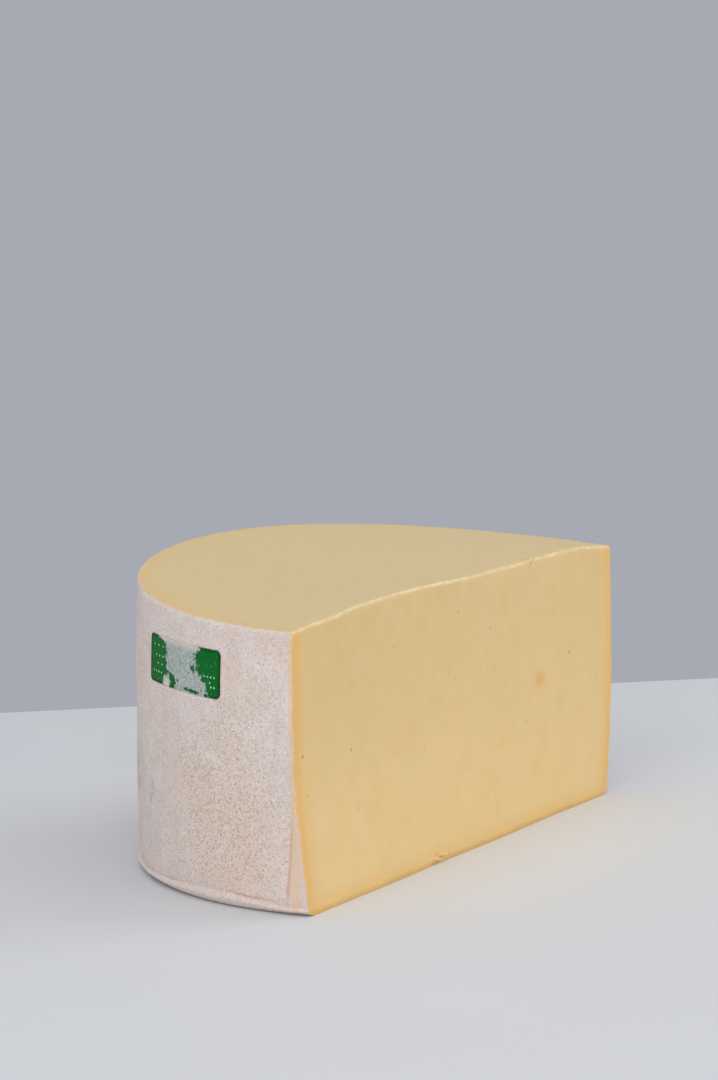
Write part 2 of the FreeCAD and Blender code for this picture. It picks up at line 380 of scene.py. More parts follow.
def finish(tree, tone, reliefs, values):
    """Ends a material: its colour, its reliefs with their depths in mm, and the shader's values."""
    facing = {}
    for height, depth in reliefs:
        lifted = node(tree, "ShaderNodeBump",
                      {"Height": height, "Distance": depth * MM, "Strength": 1.0, **facing})
        facing = {"Normal": lifted}
    shader = node(tree, "ShaderNodeBsdfPrincipled", {"Base Color": tone, **values, **facing})
    node(tree, "ShaderNodeOutputMaterial", {"Surface": shader})


def paste_material():
    """Pressed, milled curd cut by a wire: pale straw with faint marbling, waxy and a little
    see-through, turning orange where it meets the rind."""
    material, tree, where, given = new_material(
        "pressed_paste", PASTE_CLOUDS, ["foot_depth", "rind_depth", "level", "edge", "bruise"])
    marble, grain, level = given["marble"], given["grain"], given["level"]
    curd = node(tree, "ShaderNodeTexVoronoi",
                {"Vector": where, "Scale": per(CURD), "Smoothness": 0.6, "Randomness": 1.0},
                feature="SMOOTH_F1")

    # painted light: the paste is painted brighter towards the foot
    tone = layer(tree, colour(PASTE_PALE), PASTE_DEEP, given["broad"], 0.35, 0.65)
    tone = layer(tree, tone, PASTE_PAINTED_BRIGHT, given["foot_depth"], 160.0, 10.0, 0.7)

    # marbling: warmer patches, with curds and grain a little paler
    tone = layer(tree, tone, PASTE_WARM, marble, 0.45, 0.75, 0.27)
    tone = layer(tree, tone, PASTE_CREAM, curd, 0.3, 0.8, 0.15)
    tone = layer(tree, tone, PASTE_CREAM, grain, 0.52, 0.8, 0.25)

    # a bruise, and the level cut, which has stood longest and dried a little
    tone = node(tree, "ShaderNodeMix",
                {SHARE: given["bruise"], UNDER: tone, OVER: colour(PASTE_BRUISE)}, data_type="RGBA")
    dried = node(tree, "ShaderNodeMath", {0: level, 1: 0.8}, operation="MULTIPLY")
    tone = node(tree, "ShaderNodeMix", {SHARE: dried, UNDER: tone, OVER: colour(PASTE_DRY)},
                data_type="RGBA")

    # the rind has stained the paste from outside inwards, least in the level cut
    uneven = node(tree, "ShaderNodeMapRange", step(given["ragged"], 0.3, 0.7, -1.4, 1.4), **SOFT)
    depth = node(tree, "ShaderNodeMath", {0: given["rind_depth"], 1: uneven}, operation="ADD")
    fresh = node(tree, "ShaderNodeMapRange", step(level, 0.0, 1.0, 1.0, 0.22), **SOFT)
    tone = layer(tree, tone, BAND_AMBER, depth, 24.0, 4.0, 0.6, fresh)
    tone = layer(tree, tone, BAND_ORANGE, depth, 12.0, 3.0, 0.8, fresh)
    powdered = node(tree, "ShaderNodeMapRange", step(level, 0.0, 1.0, 0.4, 0.6), **SOFT)
    tone = layer(tree, tone, RIND_PINK, depth, 2.2, 0.4, 1.0, powdered)

    # and from the base upwards, more evenly
    calmer = node(tree, "ShaderNodeMath", {0: uneven, 1: 0.4}, operation="MULTIPLY")
    low = node(tree, "ShaderNodeMath", {0: given["foot_depth"], 1: calmer}, operation="ADD")
    tone = layer(tree, tone, BAND_AMBER, low, 14.0, 3.0, 0.6)
    tone = layer(tree, tone, FOOT_OLIVE, low, 4.0, 0.3, 0.75)

    # painted highlight along the upper edge of the cut, and paste torn pale by the shaving, in a streak, in
    # two scratches and in the foot's fray
    tone = layer(tree, tone, EDGE_HIGHLIGHT_PALE, given["edge"], 0.3, 1.0, 0.65)

    # painted shade in the small openings left between the curds and in other marks of the cut face
    holes = None
    for x, z, size, strength in PITS:
        centre = ((x + AXIS_X) * MM, (AXIS_Y - float(face_out(x, z))) * MM, z * MM)
        away = node(tree, "ShaderNodeVectorMath", {0: where, 1: centre}, operation="DISTANCE")
        hole = node(tree, "ShaderNodeMapRange",
                    step(away, size * MM, size * MM * PIT_FLOOR, 0.0, strength), **SOFT)
        if holes is None:
            holes = hole
        else:
            holes = node(tree, "ShaderNodeMath", {0: holes, 1: hole}, operation="MAXIMUM")
    tone = node(tree, "ShaderNodeMix", {SHARE: holes, UNDER: tone, OVER: colour(PIT_SHADE)},
                data_type="RGBA")

    closed = node(tree, "ShaderNodeMath", {0: 1.0, 1: holes}, operation="SUBTRACT")
    rough = node(tree, "ShaderNodeMapRange", step(marble, 0.3, 0.7, 0.50, 0.62), **SOFT)
    finish(tree, tone, [(marble, 0.25), (grain, 0.2), (closed, 0.5)], {
        "Roughness": rough, "IOR": 1.46, "Specular IOR Level": 0.4, "Subsurface Weight": 0.18,
        "Subsurface Radius": (1.0, 0.55, 0.25), "Subsurface Scale": 2.5 * MM,
    })
    return material


def rind_material():
    """Dry, dusty rind ripened in a cloth: the weave stands in fine ridges under white bloom,
    with orange-brown blisters and grey stains, all of it matt."""
    material, tree, where, given = new_material(
        "cloth_marked_rind", RIND_CLOUDS,
        ["damp", "bloom", "stain", "blister", "orange", "cut_near", "flap"])
    patch, grain, pore = given["patch"], given["grain"], given["pore"]
    cloth = node(tree, "ShaderNodeAttribute", attribute_name="cloth").outputs["Vector"]
    drawn = node(tree, "ShaderNodeVectorMath", {0: cloth, 1: (1.0, STREAK_DRAWN, 1.0)},
                 operation="MULTIPLY")
    streak = node(tree, "ShaderNodeTexNoise",
                  {"Vector": drawn, "W": 14.0, "Scale": per(STREAK), "Detail": 3.0,
                   "Roughness": 0.6}, noise_dimensions="4D")

    # some marks are broken up by the patches: two places and how much is left between them
    for label, low, high, least in (("bloom", 0.3, 0.6, 0.0), ("stain", 0.3, 0.6, 0.1),
                                    ("orange", 0.2, 0.5, 0.5)):
        share = node(tree, "ShaderNodeMapRange", step(patch, low, high, least, 1.0), **SOFT)
        given[label] = node(tree, "ShaderNodeMath", {0: given[label], 1: share},
                            operation="MULTIPLY")

    tone = layer(tree, colour(RIND_PINK), RIND_GREY, given["broad"], 0.35, 0.65)
    tone = layer(tree, tone, RIND_TAN, patch, 0.42, 0.72, 0.4)
    tone = layer(tree, tone, RIND_WHITE, streak, 0.5, 0.75, 0.3)

    # greener where the cloth stayed damp, whiter where the bloom is thick
    tone = layer(tree, tone, RIND_GREEN, given["damp"], 0.1, 1.0, 0.28)
    tone = layer(tree, tone, RIND_WHITE, given["bloom"], 0.1, 0.9, 0.35)
    tone = layer(tree, tone, STAIN_GREY, given["stain"], 0.05, 0.8, 0.75)

    # tan shows in the hollows between the threads, thick in some places and thin elsewhere
    tone = layer(tree, tone, RIND_TAN, given["blister"], 0.0, 1.0, 0.4)
    crowd = node(tree, "ShaderNodeMapRange", step(given["blister"], 0.0, 0.9, 0.47, 0.94), **SOFT)
    tone = layer(tree, tone, PORE_TAN, pore, 0.50, 0.62, 0.8, crowd)
    tone = layer(tree, tone, RIND_WHITE, grain, 0.54, 0.68, 0.7)
    tone = layer(tree, tone, CREASE_ORANGE, given["orange"], 0.15, 0.85, 0.8)

    # painted highlight: a cream line on the rind's corner beside each upright cut
    tone = layer(tree, tone, CORNER_HIGHLIGHT_CREAM, given["cut_near"], 0.1, 1.0, 0.6)

    # warp and weft pressed into the rind
    threads = []
    for way, pitch in THREADS:
        ridges = node(tree, "ShaderNodeTexWave",
                      {"Vector": cloth, "Scale": per(pitch) * math.pi / 10,
                       "Distortion": 3.0, "Detail": 2.0, "Detail Scale": 0.8},
                      wave_type="BANDS", bands_direction=way)
        threads.append(ridges.outputs["Fac"])
    weave = node(tree, "ShaderNodeMath", {0: threads[0], 1: threads[1]}, operation="MULTIPLY")
    tone = layer(tree, tone, RIND_WHITE, weave, 0.15, 0.7, 0.28)

    # bare, peach-coloured rind under the overlap
    tone = layer(tree, tone, FLAP_PEACH, given["flap"], 0.0, 1.0, 0.65)

    pitted = node(tree, "ShaderNodeMath", {0: grain, 1: pore}, operation="SUBTRACT")
    rough = node(tree, "ShaderNodeMapRange", step(patch, 0.3, 0.7, 0.82, 0.94), **SOFT)
    finish(tree, tone, [(patch, 0.5), (streak, 0.3), (weave, 0.18), (pitted, 0.3)], {
        "Roughness": rough, "IOR": 1.45, "Specular IOR Level": 0.25, "Sheen Weight": 0.15,
        "Sheen Roughness": 0.6,
    })
    return material


def plaque_material():
    """Thin moulded food-safe plate: even green with a darker rim, scuffed pale and grown over
    by grey bloom in its middle."""
    material, tree, where, given = new_material(
        "green_pressed_plate", PLATE_CLOUDS, ["rim", "worn", "overgrown"])
    patch, fine = given["patch"], given["fine"]
    tone = layer(tree, colour(PLATE_GREEN), PLATE_MOSS, patch, 0.35, 0.7)
    tone = layer(tree, tone, PLATE_RIM, given["rim"], 0.2, 0.8)
    tone = layer(tree, tone, WORN_PALE, fine, 0.58, 0.8, 0.35)

    # the worn middle has a ragged border
    frayed = node(tree, "ShaderNodeMapRange", step(given["ragged"], 0.3, 0.7, -0.6, 0.6), **SOFT)
    worn = node(tree, "ShaderNodeMath", {0: given["worn"], 1: frayed}, operation="ADD")
    worn = node(tree, "ShaderNodeMapRange", step(worn, 0.44, 0.58), **SOFT)
    mottle = layer(tree, colour(WORN_PALE), WORN_GREY, fine, 0.35, 0.65)
    mottle = layer(tree, mottle, WORN_GREEN, patch, 0.5, 0.75, 0.6)
    mottle = layer(tree, mottle, MOULD_CREAM, given["overgrown"], 0.1, 0.9, 0.75)
    tone = node(tree, "ShaderNodeMix", {SHARE: worn, UNDER: tone, OVER: mottle}, data_type="RGBA")

    rough = node(tree, "ShaderNodeMapRange", step(worn, 0.0, 1.0, 0.45, 0.85), **SOFT)
    finish(tree, tone, [(fine, 0.12), (worn, 0.25)],
           {"Roughness": rough, "IOR": 1.5, "Specular IOR Level": 0.06})
    return material


def plain_material(name, first, second, size, rough, depth):
    """Two close colours in patches of a size in mm, with a fine bump: for grains and the table."""
    material, tree, _, given = new_material(name, {"patch": (size, 3.0, 0.6, 31.0)}, [])
    tone = layer(tree, colour(first), second, given["patch"], 0.35, 0.65)
    finish(tree, tone, [(given["patch"], depth)],
           {"Roughness": rough, "IOR": 1.45, "Specular IOR Level": 0.25})
    return material


paste = paste_material()
rind = rind_material()
plate_finish = plaque_material()
# loose powder of dry white mould, which softens the rind's edge
bloom_finish = plain_material("white_bloom", "#e9e2df", "#d8cbc4", 2.0, 0.95, 0.1)
# hard blisters of dried rind, orange-brown and slightly waxy
blister_finish = plain_material("rind_blister", "#cbae92", "#b0937a", 2.0, 0.8, 0.1)
# crumbs torn from the paste by the wire
crumb_finish = plain_material("paste_crumb", "#e6cf9e", "#d9b474", 2.0, 0.6, 0.1)
# raised marks moulded on the plaque, rubbed pale
mark_finish = plain_material("rubbed_mark", "#c6dcc2", "#8fb494", 2.0, 0.6, 0.05)
# plain painted table, pale grey
floor_finish = plain_material("pale_floor", "#dcdee0", "#dadcdf", 400.0, 0.6, 0.0)


# ---------------------------------------------------------------- skin of the cheese
FOOT_STEPS = 22            # rows in the folded foot
FOOT_CROWD = 1.5           # power that crowds them towards the base
FOOT_OVER = 6.0            # they reach this far above the lip, mm
ARC = math.pi * WHEEL_R    # length of the rind from cut to cut, mm
ROUNDS = 4                 # rounds in which a height and the place it belongs to settle
FACE_COLUMNS, FACE_NEAR = 270, [1.0, 1.3, 1.7, 2.2, 2.8]       # columns of the upright cut
FACE_FIRST = 0.0015        # share of the chord taken by its first column

# places along the rind in mm from the near cut, and shares of the height above the foot:
# close together at the cuts, round the plaque and under the level cut
arc_places = np.concatenate([
    [0.0, 0.6, 1.3, 2.2], np.arange(3.2, 12, 0.9), np.arange(12, 46, 1.7),
    np.arange(46, 130, 1.0), np.arange(130, ARC - 6, 3.0),
    [ARC - 4.5, ARC - 3, ARC - 1.8, ARC - 0.8, ARC],
]) / ARC
rise_places = np.concatenate([
    np.arange(0, 0.66, 0.0145), np.arange(0.66, 0.92, 0.0066), np.arange(0.92, 0.965, 0.009),
    [0.970, 0.978, 0.985, 0.991, 0.9955, 1.0],
])
face_places = from_edges(FACE_COLUMNS, FACE_NEAR, FACE_FIRST)


def row_heights(foot, top):
    """Heights of all rows between the base and the level cut."""
    low = (np.arange(FOOT_STEPS) / FOOT_STEPS) ** FOOT_CROWD
    foot, top = np.asarray(foot)[..., None], np.asarray(top)[..., None]
    return np.concatenate([foot * low, foot + (top - foot) * rise_places], -1)


def border(start):
    """Points where the rind meets the upright cut, from base to top, and their turns."""
    top = HEIGHT
    for _ in range(ROUNDS):
        foot = float(lip_height(np.array(start))) + FOOT_OVER
        z = row_heights(foot, top)
        turn = np.full(z.shape, start)
        for _ in range(ROUNDS + 1):
            p = wall_at(turn, z)
            miss = p[..., 1] + face_out(p[..., 0], z)
            turn = turn - np.degrees(miss / (WHEEL_R * wave(turn)))
        top = float(top_height(p[-1, 0], p[-1, 1]))
    return p, turn


near_line, near_turn = border(180.0)
far_line, far_turn = border(0.0)

# the rind stands between the two lines, all the way round
turns = near_turn[None] + (far_turn - near_turn)[None] * arc_places[:, None]
tops = np.full(len(arc_places), HEIGHT)
for _ in range(ROUNDS):
    crest = wall_at(turns[:, -1], tops)
    tops = top_height(crest[:, 0], crest[:, 1])
feet = lip_height(turns[:, -1]) + FOOT_OVER
wall = wall_at(turns, row_heights(feet, tops))
wall[0], wall[-1] = near_line, far_line

# the upright cut hangs between the same two lines
share = face_places[:, None]
face_x = near_line[None, :, 0] + (far_line - near_line)[None, :, 0] * share
foot_line = feet[0] + (feet[-1] - feet[0]) * face_places
crown = np.full(len(face_places), HEIGHT)
for _ in range(ROUNDS):
    crown = top_height(face_x[:, -1], -face_out(face_x[:, -1], crown))
face_z = row_heights(foot_line, crown)
face = np.stack([face_x, -face_out(face_x, face_z), face_z], -1)
face[0], face[-1] = near_line, far_line

columns, rows = wall.shape[:2]
wall_index = np.arange(columns * rows).reshape(columns, rows)
inner = len(face_places) - 2
face_index = np.vstack([
    wall_index[:1], columns * rows + np.arange(inner * rows).reshape(inner, rows), wall_index[-1:],
])
points = np.concatenate([wall.reshape(-1, 3), face[1:-1].reshape(-1, 3)])

RING_CLEAR = 0.75                        # a ring's points keep this share of its offset from the rim
ROW_STEP = 0.866                         # height of an even triangle with a side of one
SPOTS_PAST, SPOTS_FRONT = 5.0, 8.0       # rows start this far outside the rim and the cut, mm
# how far in from the rim the rings stand, and how far apart the rows, mm
TOP_RINGS, TOP_PITCH = [0.7, 1.5, 2.6, 4.0], 2.7
BASE_RINGS, BASE_PITCH = [1.5, 4.0], 9.0


def fill(rim, offsets, pitch, lift):
    """Fills a closed rim with triangles: rings of points drawn in from it, then even rows.
    Returns the new points and all faces."""
    plan = points[rim][:, :2]
    nearest = KDTree(len(plan))
    for i, p in enumerate(plan):
        nearest.insert((p[0], p[1], 0), i)
    nearest.balance()
    along = np.roll(plan, -1, 0) - np.roll(plan, 1, 0)
    inward = np.stack([along[:, 1], -along[:, 0]], -1) / np.linalg.norm(along, axis=1)[:, None]
    chosen = []
    for offset in offsets:
        chosen += [(p, offset * RING_CLEAR) for p in plan + inward * offset]
    reach = int(WHEEL_R / pitch) + 1
    spots = [(i * pitch + (j % 2) * pitch / 2, j * pitch * ROW_STEP)
             for i in range(-reach, reach + 1) for j in range(-2, reach * 2)]
    chosen += [(np.array(s), offsets[-1] + pitch * 0.5) for s in spots
               if math.hypot(*s) < WHEEL_R + SPOTS_PAST and s[1] > -SPOTS_FRONT]
    kept = [p for p, clear in chosen if nearest.find((p[0], p[1], 0))[2] >= clear]
    flat = [Vector(p) for p in plan] + [Vector(p) for p in kept]
    triangles, source = triangulated(flat, len(plan))
    faces = np.array([[source[i][0] for i in t] for t in triangles])
    used = np.unique(faces[faces >= len(rim)])
    lookup = np.zeros(len(flat), int)
    lookup[:len(rim)] = rim
    lookup[used] = len(points) + np.arange(len(used))
    new = np.array(kept)[used - len(rim)]
    return np.column_stack([new, lift(new[:, 0], new[:, 1])]), lookup[faces]


def rim_loop(row):
    """Point numbers round the top or base, clockwise seen from above."""
    return np.concatenate([wall_index[:, row], face_index[1:-1, row][::-1]])


top_points, top_faces = fill(rim_loop(-1), TOP_RINGS, TOP_PITCH, top_height)
first_top = len(points)
points = np.concatenate([points, top_points])
base_points, base_faces = fill(rim_loop(0), BASE_RINGS, BASE_PITCH, lambda x, y: 0 * x)
first_base = len(points)
points = np.concatenate([points, base_points])


def turned(faces, up):
    """Triangles all facing up, or all facing down."""
    a, b, c = (points[faces[:, i]][:, :2] for i in range(3))
    area = (b - a)[:, 0] * (c - a)[:, 1] - (b - a)[:, 1] * (c - a)[:, 0]
    wrong = (area > 0) != up
    faces[wrong] = faces[wrong][:, ::-1]
    return faces


wall_faces = grid_faces(wall_index)
face_faces = grid_faces(face_index)[:, ::-1]
top_faces, base_faces = turned(top_faces, True), turned(base_faces, False)

# ---------------------------------------------------------------- what every point of the skin knows
count = len(points)
number = np.arange(count)
wall_part = number < columns * rows
face_part = (number >= columns * rows) & (number < first_top)
top_part = (number >= first_top) & (number < first_base)
cut_part = face_part | top_part
angle = np.degrees(np.arctan2(points[:, 1], points[:, 0]))
angle = np.where(angle < -90, angle + 360, angle)
arc = np.radians(180 - angle) * WHEEL_R
height = points[:, 2]
below_top = np.where(top_part, 0.0, top_height(points[:, 0], points[:, 1]) - height)
flat_r = np.hypot(points[:, 0] - LEAN_X * (1 - height / HEIGHT),
                  points[:, 1] - LEAN_Y * (1 - height / HEIGHT))
inside = radius_at(angle) + BARREL * np.sin(np.pi * np.clip(height / HEIGHT, 0, 1)) - flat_r
inside = np.clip(inside, 0, None)
behind = points[:, 1] + face_out(points[:, 0], height)

CORNER_SKIN = 0.4          # rind seen on the upright cut at its corners, mm
chord_depth = np.minimum(points[:, 0] - near_line[:, 0].min(), far_line[:, 0].max() - points[:, 0])
rind_depth = np.where(wall_part, 0.0, inside)
rind_depth = np.where(face_part, np.minimum(chord_depth, inside + CORNER_SKIN), rind_depth)
foot_depth = height.copy()

HIGHLIGHT_WIDE = 1.8            # width of the painted highlight along the upper edge of the cut, mm
edge = np.exp(-(np.where(top_part, behind, below_top) / HIGHLIGHT_WIDE) ** 2)
edge = np.where(cut_part, edge, 0.0) * np.clip(rind_depth / 3, 0, 1)
edge = edge * (0.75 + 0.5 * fractal(points, 7, 2, 7))

# crease where the cloth overlapped, beside the near cut
FOLD_REACH = 40.0          # the overlap is only looked for this near to the cut, mm
fold_gap = points[:, 1] - fold_away(height)
fold_ease = smooth(DRIFT_SHARE * HEIGHT - height, 0.0, 30.0) * smooth(height, 2.0, 9.0)
fold = np.where(arc < FOLD_REACH, bell(fold_gap, 1.0), 0) * fold_ease
flap = np.where(arc < FOLD_REACH, smooth(-fold_gap, 0.2, 1.6), 0) * fold_ease

# the plaque's own measures along and up, from its middle
tilt = math.radians(PLAQUE_TILT)
plaque_z = HEIGHT - PLAQUE_BELOW
sideways = WHEEL_R * np.sin(np.radians(angle - PLAQUE_TURN))
across = sideways * math.cos(tilt) - (height - plaque_z) * math.sin(tilt)
upward = (height - plaque_z) * math.cos(tilt) + sideways * math.sin(tilt)
seat = np.where(wall_part, inset(across, upward), -99.0)

# ---------------------------------------------------------------- relief of the rind
SWELL, SWELL_SIZE = 0.42, 34             # how far each form stands out, and how wide it is, mm
DIMPLE, DIMPLE_SIZE = 0.16, 9
PLEAT, PLEAT_SIZE, PLEAT_DRAWN = 0.14, 8, 0.16     # its width is this share of its length
FLAP_OUT = 0.35
SEAM_DEPTH, SEAM = 0.35, (53, 136, 1.2, 18)        # place along the rind, height, half sizes
SEAT_SWELL, SEAT_SWELL_AWAY, SEAT_SWELL_WIDE = 0.30, 1.6, 1.3      # bulge round the plaque

lip = lip_height(angle)
wander = fractal(spread(arc, height), SWELL_SIZE, 3, 1)
dimple = fractal(spread(arc, height), DIMPLE_SIZE, 3, 2)
pleat = fractal(spread(arc, height * PLEAT_DRAWN), PLEAT_SIZE, 2, 3)
fade = smooth(arc, 0, 5) * smooth(ARC - arc, 0, 5) * smooth(below_top, 0, 4) * smooth(height, 1, 5)
swell = SWELL * wander + DIMPLE * dimple + PLEAT * pleat * smooth(height, lip, lip + 12)
swell = swell * fade * smooth(-seat, -1.0, 5.0)
swell = swell - FOLD_DEPTH * fold + FLAP_OUT * flap
swell = swell - SEAM_DEPTH * blob(arc, height, *SEAM) * fade
swell = swell + SEAT_SWELL * bell(seat + SEAT_SWELL_AWAY, SEAT_SWELL_WIDE) * (seat < 0)
swell = swell - (PLAQUE_T - PLAQUE_PROUD + SEAT_GAP) * smooth(seat, 0.0, 1.0)
outward = np.column_stack([np.cos(np.radians(angle)), np.sin(np.radians(angle)), 0 * angle])
points = points + outward * np.where(wall_part, swell, 0)[:, None]

# ---------------------------------------------------------------- relief of the two wire cuts
PIT_DEPTH, BURR_DEPTH, DRAG_DEPTH = 0.45, 1.2, 0.07          # mm
EDGE_WAVE, TOP_DRAG, SCRATCH_DEPTH = 0.7, 0.06, 0.35         # mm
NICK_X = 84.7                            # place along the chord of the nick in the upper edge
SCRATCHES = ((-82.1, 71.9, 4.5, 1.3), (-82.6, 49.9, 4.5, 1.3))     # in the level cut
# marks in the upright cut: place along the chord, height, half its width and half its height
FRAY, FRAY_PALE = (-40, 2.6, 8.5, 2.4), (-40, 3.6, 8, 1.2)
PALE_STREAK, BRUISE = (-17.5, 22, 1.1, 7), (94.1, 89.4, 7.5, 5.0)

drag = fractal(np.column_stack([points[:, 0] * 0.35, height, points[:, 1]]), 16, 3, 4)
torn = fractal(points, 2.6, 3, 5)
hollow = np.zeros(count)
for x, z, size, _ in PITS:
    hollow = np.maximum(hollow, PIT_DEPTH * blob(points[:, 0], height, x, z, size, size))
burr = blob(points[:, 0], height, *FRAY)
dent = DRAG_DEPTH * drag * (smooth(chord_depth, 0, 6) * smooth(below_top, 0, 4))
dent = dent - hollow + BURR_DEPTH * burr * (0.4 + torn)
points[:, 1] -= np.where(face_part, dent, 0)
nick = blob(points[:, 0], height, NICK_X, top_height(NICK_X, 0), 2.6, 2.2)
nick = nick * np.where(cut_part, smooth(5 - behind, 0, 3), 0)
ragged = fractal(np.column_stack([points[:, 0], 0 * height, 0 * height]), 26, 4, 8)
lip_near = np.where(top_part, behind, below_top) * cut_part
points[:, 2] += np.where(cut_part, EDGE_WAVE * ragged * bell(lip_near, 5), 0)
scratch = strongest(*(blob(points[:, 0], points[:, 1], *mark) for mark in SCRATCHES))
dragged = TOP_DRAG * drag * smooth(behind, 0, 5) * smooth(rind_depth, 0, 5)
points[:, 2] += np.where(top_part, dragged, 0)
points[:, 2] -= np.where(top_part, SCRATCH_DEPTH * scratch, 0)

# soften every cut edge by drawing points near it towards their neighbours
SOFT_ROUNDS, SOFT_PULL = 14, 0.5
all_faces = [list(f) for part in (wall_faces, face_faces, top_faces, base_faces) for f in part]
ends = np.array([(f[i - 1], f[i]) for f in all_faces for i in range(len(f))])
ends = np.concatenate([ends, ends[:, ::-1]])
partners = np.bincount(ends[:, 0], minlength=count)
top_near = np.where(top_part, np.minimum(behind, rind_depth), below_top)
side_near = np.where(wall_part, np.minimum(arc, ARC - arc), chord_depth)
side_near = np.where(wall_part | face_part, np.abs(side_near), 99.0)
foot_near = np.where(face_part, height, 99.0)
yielding = strongest(smooth(3.2 - np.abs(top_near), 0, 2.2), smooth(2.6 - side_near, 0, 2.0),
                     0.8 * smooth(1.8 - foot_near, 0, 1.5))
yielding = yielding * (height > 0.01) * SOFT_PULL
for _ in range(SOFT_ROUNDS):
    mean = np.stack([np.bincount(ends[:, 0], points[ends[:, 1], k], count) for k in range(3)], -1)
    points = points + (mean / partners[:, None] - points) * yielding[:, None]
points[:, 2] = np.maximum(points[:, 2], 0)

# a shaving the wire lifted from the upper edge, and the dip beside it
SHAVING_UP, SHAVING_OUT, DIP_DOWN = 2.4, 1.2, 1.0            # mm
# place along the chord, depth below the edge, half sizes along and down
SHAVING, DIP, TAIL = (84.0, 0, 2.2, 2.6), (88.2, 0, 1.8, 2.4), (86.0, 3.0, 1.4, 3.5)
shaving = blob(points[:, 0], below_top, *SHAVING) * cut_part
shaving = shaving * np.where(top_part, bell(behind, 2.0), 1)
dip = blob(points[:, 0], below_top, *DIP) * cut_part
dip = dip * np.where(top_part, bell(behind, 2.4), 1)
points[:, 2] += SHAVING_UP * shaving - DIP_DOWN * dip
points[:, 1] -= SHAVING_OUT * shaving

# paste torn pale: by the shaving, in a streak low on the cut, in two scratches and in the foot's fray
tail = blob(points[:, 0] - 0.5 * below_top, below_top, *TAIL)
streak = blob(points[:, 0] + 0.2 * height, height, *PALE_STREAK)
fray = blob(points[:, 0], height, *FRAY_PALE) * (0.6 + torn)
edge = strongest(edge, shaving, face_part * strongest(0.9 * tail, 0.7 * streak, 1.1 * fray),
                 0.8 * top_part * scratch)

# ---------------------------------------------------------------- marks on the cheese
# place along the rind, height, half its width and half its height in mm, and its strength
STAINS = [
    (128, 55, 6, 5.5, 0.8), (133, 50, 4, 3.0, 0.6), (128, 73, 4, 2.5, 0.4), (168, 66, 9, 5.0, 0.6),
    (164, 54, 7, 6.0, 0.6), (101, 45, 3, 2.0, 0.3), (115, 42, 3, 2.0, 0.3), (96, 70, 4, 3.0, 0.3),
    (330, 70, 9, 5.0, 0.6), (410, 40, 8, 4.0, 0.6), (505, 95, 6, 5.0, 0.6),
]
CROWDS = [
    (34, 54, 24, 28, 0.6), (40, 25, 22, 15, 0.7), (66, 40, 28, 30, 0.5), (92, 24, 40, 14, 0.35),
    (50, 95, 22, 30, 0.4), (22, 120, 18, 34, 0.25), (80, 72, 24, 20, 0.35),
    (230, 30, 60, 22, 0.5), (380, 55, 70, 30, 0.5), (540, 40, 45, 26, 0.8),
]
ORANGE_PLACE, ORANGE_REACH = 34, 20      # where along the rind the orange line is strongest, mm
PEACH_SPOT, BLOOM_SPOT = (44, 17, 24, 7), (37, 130, 20, 20)
DAMP_SPOTS = ((158, 72, 30, 26), (90, 84, 34, 16))
stain = sum(strength * blob(arc, height, s, z, w, h) for s, z, w, h, strength in STAINS)
stain = stain * (1.1 + 1.6 * dimple)
crowds = sum(strength * blob(arc, height, s, z, w, h) for s, z, w, h, strength in CROWDS)
crowds = np.clip(crowds, 0, 1)

# an orange line above the lip, jagged and strongest near the cut, and another in the overlap
jagged = fractal(spread(arc, 0.4 * height), 5, 4, 9)
lip_line = height - lip - 1.0 - 1.4 * jagged
orange = strongest(bell(lip_line, 0.8) * (0.15 + 0.6 * smooth(wander + jagged, -0.35, 0.5)),
                   0.9 * bell(lip_line, 0.9) * bell(arc - ORANGE_PLACE, ORANGE_REACH), 0.9 * fold)
peach = np.where(arc < FOLD_REACH, smooth(1.5 - fold_gap, 0, 2.5), 0) * fold_ease
peach = peach * bell(np.maximum(-fold_gap, 0), 9.0)
peach = np.maximum(peach, 0.45 * blob(arc, height, *PEACH_SPOT))

# white bloom, thick beside the plaque and on the crown of the lip
whiteness = 0.5 + 0.9 * wander + 0.5 * blob(arc, height, *BLOOM_SPOT)
whiteness = whiteness + 0.6 * bell(height - 0.62 * lip, 2.0)
damp = sum(blob(arc, height, *spot) for spot in DAMP_SPOTS)

cheese_mesh = make_mesh(
    "cheese_body", points, all_faces,
    rind_depth=rind_depth,
    foot_depth=foot_depth,
    level=smooth(below_top, 1.2, 0.0),
    edge=edge,
    bruise=0.6 * face_part * blob(points[:, 0], height, *BRUISE),
    cloth=spread(arc, height) * MM,
    stain=np.clip(stain, 0, 1),
    blister=crowds,
    orange=np.where(wall_part, np.clip(orange, 0, 1), 0),
    bloom=np.clip(whiteness, 0, 1),
    # painted highlight: a cream line on the rind beside both cuts
    cut_near=wall_part * bell(np.minimum(arc, ARC - arc), 2.4),
    damp=np.clip(damp, 0, 1),
    flap=np.where(wall_part, peach, 0),
)
slots = [1] * len(wall_faces) + [0] * (len(face_faces) + len(top_faces)) + [1] * len(base_faces)
cheese = make_piece(cheese_mesh, [paste, rind], slots)


# ---------------------------------------------------------------- plaque
def plaque_point(a, b, out):
    """Point of the plate at its own measures, standing out of the wall."""
    side = a * math.cos(tilt) + b * math.sin(tilt)
    up = b * math.cos(tilt) - a * math.sin(tilt)
    turn = PLAQUE_TURN + np.degrees(np.arcsin(side / WHEEL_R))
    return wall_at(turn, plaque_z + up, out)


